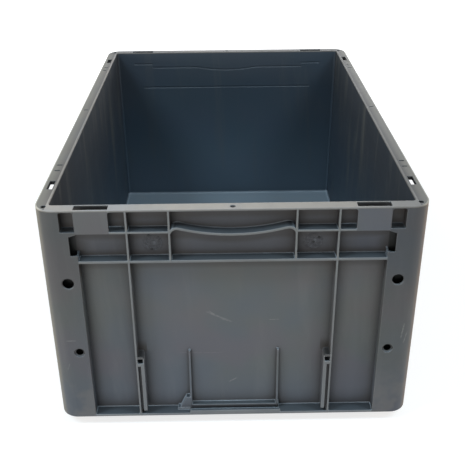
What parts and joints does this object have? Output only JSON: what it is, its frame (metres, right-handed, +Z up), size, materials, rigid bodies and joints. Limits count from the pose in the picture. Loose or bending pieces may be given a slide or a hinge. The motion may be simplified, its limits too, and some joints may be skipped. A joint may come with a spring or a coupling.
{
  "type": "euro container",
  "caption": "Open-topped rectangular plastic stacking container with a flat rim, ribbed walls, a hand grip at each end, a label holder and a stacking foot.",
  "frame": {"origin": "on the ground, in the middle of the footprint", "axes": "+Z up, +Y along the long sides, +X across the ends"},
  "size_m": [0.4, 0.6, 0.28],
  "materials": {
    "moulded_plastic": "fine matt texture, mid cool grey, scuffed and dusty on the rim and the ribs"
  },
  "bodies": {
    "root": {"container": "moulded_plastic"}
  },
  "joints": []
}
